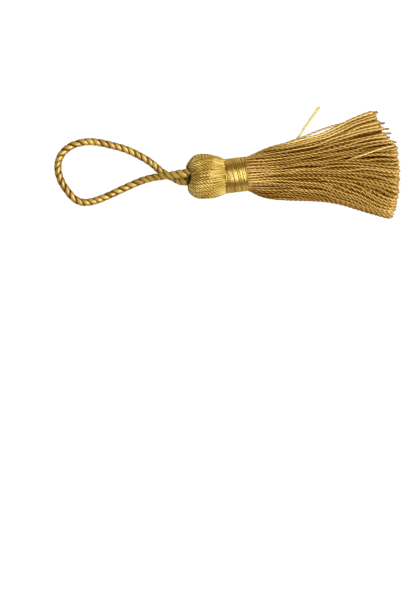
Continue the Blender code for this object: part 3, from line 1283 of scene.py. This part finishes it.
    def strayed(self, paths: Array, rng: np.random.Generator) -> Array:
        """Let every yarn wander a little sideways and downwards, more so away from the neck.

        Args:
            paths: Points as (yarns, sections, 3).
            rng: Source of the wandering.

        Returns:
            The moved points, which stay in the outline and above the table.
        """
        count, stations, _ = paths.shape
        x, y, z = (paths[..., axis] for axis in range(3))
        form = self.outline.at_x(x)
        free = self.stray_along.at(x) * self.stray_across.at(np.abs(y) / reach_beside(form, y))
        radius = 0.5 * self.diameter
        side = y + self.stray * free * wander(rng, count, stations, 5)
        low, high = np.minimum(radius - form["right"], y), form["left"] - radius
        side = np.clip(side, low, np.maximum(high, y))
        drop = self.stray * free * np.abs(wander(rng, count, stations, 5))
        lowered = np.maximum(z - drop, np.minimum(z, self.stray_floor))
        return np.stack([x, side, lowered], axis=-1)

    def cut(self, paths: Array, rng: np.random.Generator) -> Array:
        """Where each yarn is cut: near the cut line, and short of it at the skirt's left corner.

        Args:
            paths: Points as (yarns, sections, 3).
            rng: Source of the cut's unevenness.

        Returns:
            The place of each yarn's end, counted in sections.
        """
        y = paths[:, -1, 1]
        uneven = rng.normal(0.0, self.cut_spread, len(y))
        short = self.short_least + self.short_spread * rng.exponential(0.8, len(y))
        uneven -= self.short_corner.at(y) * short
        cut_x = self.cut_line.at(y) - self.cut_inset + np.clip(uneven, *self.cut_limits)
        beyond = np.argmax(paths[..., 0] > cut_x[:, None], axis=1)
        rows = np.arange(len(paths))
        before_x, beyond_x = paths[rows, beyond - 1, 0], paths[rows, beyond, 0]
        return beyond - 1 + (cut_x - before_x) / (beyond_x - before_x)

    def strands(
        self, hank: Hank, size: Array, fineness: tuple[int, int], rng: np.random.Generator
    ) -> list[Surface]:
        """Make yarns as plied strands, with the fibres that splay from their ends.

        Args:
            hank: The yarns.
            size: How thick a yarn has room to be in each section, as a share of the usual.
            fineness: Stations along a yarn and points round it.
            rng: Source of the fibres' differences.

        Returns:
            The yarns' surface and the fibres' surface.
        """
        stations, sides = fineness
        carried = self.shortened(hank.courses, hank.ends, stations)
        paths, hidden = carried[..., :3], carried[..., 3]
        x, y = paths[..., 0], paths[..., 1]
        walked = walked_length(paths)
        left = walked[:, -1:] - walked
        turn = Lay.Z.turn(walked, hank.pitch[:, None]) + hank.phase[:, None]
        scale = np.interp(x, self.section_x(), size) * self.tip_swell.at(left)
        scale = scale * hank.weight[:, None]
        paths[..., 2] = np.maximum(paths[..., 2], 0.5 * self.diameter * scale)
        ends_waist = np.maximum(
            self.tip_waist.at(left.mean(axis=0)), self.neck_waist.at(walked.mean(axis=0))
        )
        waist = np.maximum(self.corner_waist.at(y), ends_waist)
        edge = self.edge.at(y / self.outline.at_x(x)["left"])
        # The edge light is painted light and the light of hidden yarns is painted shade; the
        # others make the yarns lighter near the cut and darker just past the neck, towards the cut
        # and towards the left corner.
        light = (
            self.tip_light.at(left)
            + self.hidden_painted_shade * hidden
            + self.along_light.at(walked)
            + self.edge_painted_light * edge
            + self.corner_light.at(y)
        )
        profile = plied_profile(self.diameter, waist, sides)
        shade = hank.shade[:, None] + light
        yarns = sweep(paths, UP, profile, turn, scale, shade, self.facing(paths))
        # Valley and groove are the masks of the painted shade between the yarns and between their
        # plies.
        valley = self.tip_valley.at(left) * (1.0 + self.edge_valley * edge)
        valley = valley * self.neck_valley.at(walked) * self.corner_valley.at(y)
        yarns.scale_value("valley", valley)
        yarns.scale_value("groove", self.corner_groove.at(y) * self.along_groove.at(walked))
        return [yarns, self.frayed(paths, hank.shade, rng)]

    def facing(self, paths: Array) -> Array:
        """The way the skirt's surface faces: the normal of the section's ellipse.

        Args:
            paths: Points as (yarns, stations, 3).

        Returns:
            Unit directions, as (yarns, stations, 3).
        """
        form = self.outline.at_x(paths[..., 0])
        y, z = paths[..., 1], paths[..., 2] - form["side"]
        across, up = y / reach_beside(form, y) ** 2, z / height_beside(form, z) ** 2
        return unit(np.stack([np.zeros_like(y), across, up], axis=-1))

    def depth(self, paths: Array) -> Array:
        """How deep each point lies under the outline's nearest top, side or bottom.

        The bottom counts as floor_depth further off, because it lies on the table.

        Args:
            paths: Points as (yarns, sections, 3).

        Returns:
            The depths as (yarns, sections), in mm.
        """
        form = self.outline.at_x(np.broadcast_to(self.section_x(), paths.shape[:2]))
        y, z = paths[..., 1], paths[..., 2]
        reach = reach_beside(form, y)
        top, bottom = levels(form, np.clip(y / reach, -1.0, 1.0))
        free_depth = np.minimum(top - z, reach - np.abs(y))
        return np.minimum(free_depth, z - bottom + self.floor_depth)

    @staticmethod
    def shortened(courses: Array, ends: Array, count: int) -> Array:
        """Courses read evenly up to their own ends.

        Args:
            courses: Values as (yarns, sections, any).
            ends: Where each course ends, counted in sections.
            count: Stations wanted.

        Returns:
            Values as (yarns, count, any).
        """
        place = np.linspace(0.0, 1.0, count)[None, :] * ends[:, None]
        low = np.clip(place.astype(int), 0, courses.shape[1] - 2)
        part = (place - low)[..., None]
        rows = np.arange(len(courses))[:, None]
        return courses[rows, low] * (1.0 - part) + courses[rows, low + 1] * part

    def frayed(self, paths: Array, shade: Array, rng: np.random.Generator) -> Surface:
        """Short fibres that splay from the cut ends.

        Each starts inside its yarn a little before the cut and leaves along the yarn with a small
        random lean, bending further with the square of its length.

        Args:
            paths: The yarns' points as (yarns, stations, 3).
            shade: The yarns' shades.
            rng: Source of the lean, the start and the length.

        Returns:
            The fibres' surface.
        """
        end = np.repeat(paths[:, -1], self.hairs, axis=0)
        ahead = np.repeat(unit(paths[:, -1] - paths[:, -4]), self.hairs, axis=0)
        lean = rng.normal(0.0, self.hair_lean, end.shape)
        start = end - self.hair_start * ahead + rng.normal(0.0, self.hair_scatter, end.shape)
        least, most = self.hair_limits
        length = np.clip(least + rng.exponential(self.hair_growth, len(end)), least, most)
        length = length[:, None, None]
        t = np.linspace(0.0, 1.0, self.hair_stations)[None, :, None]
        course = start[:, None] + length * (t * ahead[:, None] + t**2 * lean[:, None])
        course[..., 2] = np.maximum(course[..., 2], self.hair_floor)
        shade = np.repeat(shade, self.hairs)[:, None]
        profile = oval_profile(HAIR_WIDTH, HAIR_WIDTH, 4)
        thinning = np.linspace(1.0, self.hair_tip, self.hair_stations)
        return sweep(course, UP, profile, scale=thinning, shade=shade)


@dataclass
class StraggleYarns:
    """Skirt yarns that leave their place: along the edges, across the top and at the cut."""

    yarns: Sequence[Wayward] = (*EDGE_YARNS, CROSSING_YARN, *PROUD_ENDS)
    diameter: float = 0.78
    waist: float = 0.88
    pitch: float = 6.0
    stations: int = 110
    sides: int = 12

    def build(self, dresser: Dresser) -> None:
        """Build all of them as one piece.

        Args:
            dresser: Makes the piece.
        """
        paths = np.stack([along_curve(yarn.route, self.stations) for yarn in self.yarns])
        turn = Lay.Z.turn(walked_length(paths), self.pitch)
        shade = np.array([[yarn.shade] for yarn in self.yarns])
        profile = plied_profile(self.diameter, self.waist, self.sides)
        surface = sweep(paths, UP, profile, turn, shade=shade)
        dresser.dress("straggling_yarns", surface, YARN_FINISH)


class HeadLayer(NamedTuple):
    """Yarns of the head that lie equally deep: their piece, number, depth and fineness."""

    piece: str
    count: int
    inset: float
    stations: int
    sides: int


@dataclass
class Head:
    """The yarns turned over into the funnel round the cord.

    Places along the outline are counted in its sections. The mouth is the funnel's upper lip,
    which lies further forward than the rest of it; the yarns inside it get a painted light that
    lifts the funnel's shade.
    """

    outline: Outline = field(default_factory=lambda: Outline(HEAD_SECTIONS))
    layers: Sequence[HeadLayer] = (
        HeadLayer("head_yarns", 60, 0.46, 84, 12),
        HeadLayer("head_under_yarns", 44, 1.15, 42, 8),
    )
    axis_height: float = 8.3
    diameter: float = 1.20
    pitch: float = 3.6
    slant: float = 0.10
    drift: float = 0.25
    drift_along: Fade = Fade((1.0, 4.0), (0.3, 1.0))
    rough: float = 0.15
    smoothing: int = 14
    crowding: float = 1.6
    least_scale: float = 0.45
    shade_spread: float = 0.35
    pitch_limits: tuple[float, float] = (0.85, 1.2)
    mouth_y: float = 0.6
    mouth_reach: float = 3.0
    mouth_depth: float = 1.5
    mouth_along: Fade = Fade((6.0, 11.0), (0.0, 1.0))
    # Painted light inside the mouth, which lifts its shade: its strength, its reach in y and its
    # fade by what is left of the path.
    mouth_painted_light: float = 4.0
    mouth_painted_light_reach: float = 3.6
    mouth_painted_light_left: Fade = Fade((2.5, 5.5), (1.0, 0.0))
    # Painted light and shade: darker next to the binding and lighter towards the funnel.
    along_light: Fade = Fade((0.15, 0.65), (-0.9, 0.9))
    waist: Fade = Fade((3.5, 10.0), (0.97, 0.44))
    seed: int = 23

    def paths(self, layer: HeadLayer, rng: np.random.Generator) -> Array:
        """Paths over the head, from under the binding into the funnel.

        Round the axis, yarn i stands at an even angle plus a slow drift. Along its way the
        outline gives the reach to each side, top and bottom, less the inset.

        Args:
            layer: The layer of yarns.
            rng: Source of the drift.

        Returns:
            Points as (yarns, stations, 3).
        """
        count, inset = layer.count, layer.inset
        place = np.linspace(0.0, len(HEAD_SECTIONS) - 1.0, 4 * layer.stations)
        form = self.outline.at(place)
        step = TURN / count
        drift = self.drift * step * wander(rng, count, len(place), 5)
        drift = drift * self.drift_along.at(place)
        angle = step * np.arange(count)[:, None] + drift
        angle = angle + self.slant * np.linspace(0.0, 1.0, len(place))
        cosine, sine = np.cos(angle), np.sin(angle)
        rough = self.rough * wander(rng, count, len(place), 6)
        y = (reach_beside(form, cosine) - inset + rough) * cosine
        z = form["side"] + (height_beside(form, sine) - inset + rough) * sine
        x = np.broadcast_to(form["x"] + inset * self.facing(form), y.shape)
        lip = np.exp(-(((y - self.mouth_y) / self.mouth_reach) ** 4))
        lip = lip * np.clip(2.0 * sine, 0.0, 1.0)
        x = x + self.mouth_depth * lip * self.mouth_along.at(place)
        raw = np.stack([x, y, np.maximum(z, 0.5 * self.diameter)], axis=-1)
        return evenly(smooth_along(raw, self.smoothing), layer.stations)

    @staticmethod
    def facing(form: Form) -> Array:
        """How much the outline faces back along x.

        Args:
            form: The outline's columns at places along it.

        Returns:
            A value for each place, from 0 where it faces sideways to 1.
        """
        reach = 0.5 * (form["left"] + form["right"])
        slope_x, slope_r = np.gradient(form["x"]), np.gradient(reach)
        return np.clip(-slope_r / np.hypot(slope_x, slope_r), 0.0, 1.0)

    def build(self, dresser: Dresser) -> None:
        """Build each layer as one piece.

        Args:
            dresser: Makes the pieces.
        """
        rng = np.random.default_rng(self.seed)
        for layer in self.layers:
            paths = self.paths(layer, rng)
            outward = paths - self.axis_height * UP
            outward[..., 0] = 0.0
            side = np.cross(FORWARD, unit(outward).mean(axis=1, keepdims=True))
            walked = walked_length(paths)
            pitch = self.pitch * rng.uniform(*self.pitch_limits, (layer.count, 1))
            turn = Lay.Z.turn(walked, pitch) + rng.uniform(0.0, math.pi, (layer.count, 1))
            room = TURN * np.linalg.norm(outward, axis=2) / layer.count
            scale = np.clip(self.crowding * room / self.diameter, self.least_scale, 1.0)
            shade = np.clip(rng.normal(0.0, self.shade_spread, (layer.count, 1)), -1.0, 1.0)
            # Painted light in the mouth, which lifts its shade, and painted light and shade along
            # the yarns.
            painted_light_mask = self.mouth_painted_light_left.at(walked[:, -1:] - walked)
            aside = (paths[..., 1] - self.mouth_y) / self.mouth_painted_light_reach
            painted_light_mask = painted_light_mask * np.exp(-(aside**4))
            shade = shade + self.along_light.at(walked / walked[:, -1:])
            shade = shade + self.mouth_painted_light * painted_light_mask
            waist = self.waist.at(walked.mean(axis=0))
            profile = plied_profile(self.diameter, waist, layer.sides)
            surface = sweep(paths, side, profile, turn, scale, shade, unit(outward))
            dresser.dress(layer.piece, surface, HEAD_FINISH, "skein")


@dataclass
class NeckFloss:
    """Flat floss wound round the neck: close passes, and a looser one over them."""

    half_length: float = 4.40
    margin: float = 0.2
    radius: float = 6.24
    offset: float = 0.45
    axis_height: float = 8.3
    width: float = 0.54
    thickness: float = 0.17
    turns: tuple[float, ...] = (24.0, 22.0, 21.0, 14.0)
    tilt: Fade = Fade((0.5, 1.5, 2.5, 3.3), (0.40, 0.90, 1.20, 1.50))
    tilt_drift: float = 0.28
    drift: float = 0.10
    rounding: float = 0.16
    layer: float = 0.09
    layer_step: float = 0.06
    unevenness: float = 0.015
    roll: float = -0.14
    roll_drift: float = 0.10
    shade_drift: float = 0.6
    points_a_turn: int = 60
    seed: int = 3

    def path(self, rng: np.random.Generator) -> Array:
        """The floss's course round the neck.

        It goes round the axis evenly and to and fro along it, once for each pass. Every turn is
        tilted: x moves by the tilt times the cosine of the angle, and the tilt drifts from turn
        to turn and fades out at the ends of the winding. In the last part of each pass, its
        layer_step, the floss climbs onto the layer that it has laid.

        Args:
            rng: Source of the drifts.

        Returns:
            Points as (stations, 3).
        """
        total = sum(self.turns)
        count = int(total * self.points_a_turn)
        turned = np.linspace(0.0, total, count)
        angle = TURN * turned
        marks = np.concatenate([[0.0], np.cumsum(self.turns)])
        stroke = np.interp(turned, marks, np.arange(len(marks)))
        phase = stroke % 2.0
        share = 2.0 * np.where(phase < 1.0, phase, 2.0 - phase) - 1.0
        free = 1.0 - np.abs(share) ** 4
        tilt_drift = self.tilt_drift * wander(rng, 1, count, int(total * 0.6))[0]
        tilt = self.tilt.at(stroke) * (1.0 + tilt_drift) * free
        drift = self.drift * wander(rng, 1, count, int(total * 1.2))[0] * free
        x = share * (self.half_length - self.margin) - tilt * np.cos(angle) + drift
        taper = np.clip((x + self.half_length) / (2.0 * self.half_length), 0.0, 1.0)
        climbed = (stroke % 1.0 - (1.0 - self.layer_step)) / self.layer_step
        laid = np.floor(stroke) + np.clip(climbed, 0.0, 1.0)
        radius = self.radius - self.rounding * np.abs(2.0 * taper - 1.0) ** 8 + self.layer * laid
        radius = radius + self.unevenness * wander(rng, 1, count, int(total * 1.5))[0]
        y = radius * np.cos(angle) - self.offset * (1.0 - taper)
        return np.stack([x, y, self.axis_height + radius * np.sin(angle)], axis=1)

    def build(self, dresser: Dresser) -> None:
        """Build the whole winding as one strand.

        Args:
            dresser: Makes the piece.
        """
        rng = np.random.default_rng(self.seed)
        path = self.path(rng)[None]
        total, count = sum(self.turns), path.shape[1]
        roll = self.roll + self.roll_drift * wander(rng, 1, count, int(total * 1.3))
        shade = self.shade_drift * wander(rng, 1, count, int(total * 1.7))
        profile = oval_profile(self.width, self.thickness, 8)
        surface = sweep(path, FORWARD, profile, roll, shade=shade)
        dresser.dress("neck_floss", surface, FLOSS_FINISH, "neck_binding")


@dataclass
class HangingCord:
    """The two-ply cord, doubled into the hanging loop.

    A ply is an oval that runs round the cord's line. Its groove value, by which the finish paints
    shade, rises on the oval's inner side, its valley value, painted shade too, rises where it
    faces away from above, and the fades go by the distance to the nearer of the cord's ends.
    """

    route: Route = CORD_ROUTE
    diameter: float = 2.95
    pitch: float = 5.5
    slack: float = 0.45
    stations: int = 470
    ribs: int = 7
    rib_depth: float = 0.07
    rib_pitch: float = 1.15
    ply_thickness: float = 1.62
    ply_width: float = 2.25
    ply_sides: int = 28
    ply_shades: tuple[float, float] = (0.25, -0.25)
    # Painted shade on the ply's inner side, where it lies against the other ply.
    inner_side: Fade = Fade((0.55, 1.45), (0.0, 1.0))
    loosened: float = 0.20
    loose_end: Fade = Fade((3.0, 8.0), (1.0, 0.0))
    # Painted light near the cord's ends, where it rises into the head's shade.
    end_light: Fade = Fade((1.6, 3.4, 11.0, 17.0), (0.2, 0.9, 0.9, 0.0))
    seed: int = 5

    def ply_profiles(self, walked: Array, angle: Array) -> Array:
        """A ply's section at each station: an oval with ribs that run nearly along the cord.

        The oval's reach is cut by rib_depth between ribs, as a cosine of the angle round it less
        the ribs' own turn, which undoes the lay of the plies.

        Args:
            walked: Length walked along the cord at each station.
            angle: Angle of each of the oval's points.

        Returns:
            Profiles as (stations, points, 2).
        """
        oval = oval_profile(self.ply_thickness, self.ply_width, self.ply_sides)
        own_turn = Lay.S.turn(walked, self.rib_pitch * self.pitch)
        wave = np.cos(self.ribs * (angle[None, :] - own_turn[:, None]))
        return oval[None] * (1.0 - 0.5 * self.rib_depth * (1.0 - wave))[..., None]

    def build(self, dresser: Dresser) -> None:
        """Args:
            dresser: Makes the piece.
        """
        line = along_curve(self.route, self.stations)
        walked = walked_length(line[None])[0]
        across, over = path_frames(line[None], UP)
        slack = self.slack * wander(np.random.default_rng(self.seed), 1, self.stations, 24)
        angle = Lay.Z.turn(walked, self.pitch) + slack + np.array([[0.0], [math.pi]])
        out = np.cos(angle)[..., None] * across + np.sin(angle)[..., None] * over
        to_end = np.minimum(walked, walked[-1] - walked)
        swell = 1.0 + self.loosened * self.loose_end.at(to_end)
        plies = line + 0.5 * (self.diameter - self.ply_thickness) * swell[:, None] * out
        # Painted light near the ends, and a lighter and a darker ply.
        shade = np.array(self.ply_shades)[:, None] + self.end_light.at(to_end)
        around = np.linspace(0.0, TURN, self.ply_sides, endpoint=False)
        # Painted shade: the groove value rises on each ply's inner side.
        inward = self.inner_side.at(np.minimum(around, TURN - around))
        profiles = self.ply_profiles(walked, around)
        # Painted shade: the valley value rises where the plies face away from above.
        surface = sweep(
            plies, out, profiles, scale=swell, shade=shade, outward=UP, groove=inward
        )
        piece = dresser.dress("hanging_cord_plies", surface, CORD_FINISH, "hanging_cord")


@dataclass
class StrayEnd:
    """One yarn end that stands clear of the skirt and has opened into its fibres."""

    route: Route = STRAY_ROUTE
    stations: int = 60
    fibres: int = 11
    width: float = 0.85
    root_spread: float = 0.85
    tip_spread: float = 0.55
    drift: float = 0.06
    shades: tuple[float, float] = (-0.5, 0.8)
    seed: int = 9

    def build(self, dresser: Dresser) -> None:
        """Build the fibres side by side, spreading a little towards the tip.

        Args:
            dresser: Makes the piece.
        """
        rng = np.random.default_rng(self.seed)
        line = along_curve(self.route, self.stations)[None]
        across, over = path_frames(line, UP)
        t = np.linspace(0.0, 1.0, self.stations)[None, :, None]
        place = np.linspace(-0.5, 0.5, self.fibres)[:, None, None]
        spread = self.width * (self.root_spread + self.tip_spread * t**2)
        drift = self.drift * wander(rng, self.fibres, self.stations, 5)[..., None]
        lift = self.drift * wander(rng, self.fibres, self.stations, 5)[..., None]
        paths = line + (place * spread + drift) * over + lift * across
        shade = rng.uniform(*self.shades, (self.fibres, 1))
        surface = sweep(paths, UP, oval_profile(HAIR_WIDTH, HAIR_WIDTH, 6), shade=shade)
        dresser.dress("stray_fibres", surface, STRAY_FINISH, "stray_yarn")


# ---- Table, light and camera -------------------------------------------------------------------


@dataclass(frozen=True)
class Studio:
    """A white table under soft light, seen from straight above."""

    camera_height: float = 0.642
    camera_x: float = -0.05297
    camera_y: float = -0.04663
    camera_roll: float = math.radians(-4.5)
    lens: float = 100.0
    table_size: float = 3.0
    table_glow: float = 0.95
    key_power: float = 130.0
    key_distance: float = 2.2
    key_lean_x: float = 0.40
    key_lean_y: float = -0.06
    key_width: float = 1.1
    key_breadth: float = 3.0
    fill_strength: float = 0.04

    def build(self) -> None:
        """Set up the view, the table and the lights."""
        scene = bpy.context.scene
        scene.view_settings.view_transform = "Standard"
        scene.view_settings.look = "None"
        self._camera(scene)
        self._table()
        self._lights(scene)

    def _camera(self, scene: bpy.types.Scene) -> None:
        """Hang the camera over the table, turned so that the tassel rises to the right.

        Args:
            scene: The scene that it views.
        """
        data = bpy.data.cameras.new("camera")
        data.lens = self.lens
        data.sensor_width = 36.0
        data.clip_start = 0.01
        camera = add_object("camera", data)
        camera.location = (self.camera_x, self.camera_y, self.camera_height)
        camera.rotation_euler = (0.0, 0.0, self.camera_roll)
        scene.camera = camera

    def _table(self) -> None:
        """Lay a matt white table under the tassel, lit a little from below."""
        half = 0.5 * self.table_size
        mesh = bpy.data.meshes.new("table")
        corners = [(-half, -half, 0.0), (half, -half, 0.0), (half, half, 0.0), (-half, half, 0.0)]
        mesh.from_pydata(corners, [], [(0, 1, 2, 3)])
        material = bpy.data.materials.new("white_table")
        graph = Graph(material)
        matt = graph.principled(
            {
                "Base Color": linear(90, 90, 90),
                "Roughness": 0.9,
                "Emission Color": (1.0, 1.0, 1.0, 1.0),
                "Emission Strength": self.table_glow,
            }
        )
        graph.end(matt)
        mesh.materials.append(material)
        add_object("table", mesh)

    def _lights(self, scene: bpy.types.Scene) -> None:
        """Hang one broad soft light beyond the cut end and let the room fill the shadows.

        Args:
            scene: The scene that they light.
        """
        data = bpy.data.lights.new("key", "AREA")
        data.shape = "RECTANGLE"
        data.size = self.key_breadth
        data.size_y = self.key_width
        data.energy = self.key_power
        key = add_object("key", data)
        lean = Vector((self.key_lean_x, self.key_lean_y, 1.0)).normalized()
        target = Vector((self.camera_x, 0.0, 0.0))
        key.location = target + self.key_distance * lean
        key.rotation_euler = (-lean).to_track_quat("-Z", "Y").to_euler()
        world = bpy.data.worlds.new("room")
        scene.world = world
        world.use_nodes = True
        background = world.node_tree.nodes["Background"]
        background.inputs["Color"].default_value = (1.0, 1.0, 1.0, 1.0)
        background.inputs["Strength"].default_value = self.fill_strength


def main() -> None:
    """Build the tassel piece by piece."""
    logging.basicConfig(level=logging.INFO, format="%(name)s: %(message)s")
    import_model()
    low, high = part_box("neck_binding")
    middle = 0.5 * (np.array(low) + np.array(high)) / MM
    dresser = Dresser(origin=np.array([middle[0], middle[1], 0.0]))
    Studio().build()
    HangingCord().build(dresser)
    NeckFloss().build(dresser)
    Head().build(dresser)
    Skirt().build(dresser)
    StraggleYarns().build(dresser)
    StrayEnd().build(dresser)


if __name__ == "__main__":
    main()
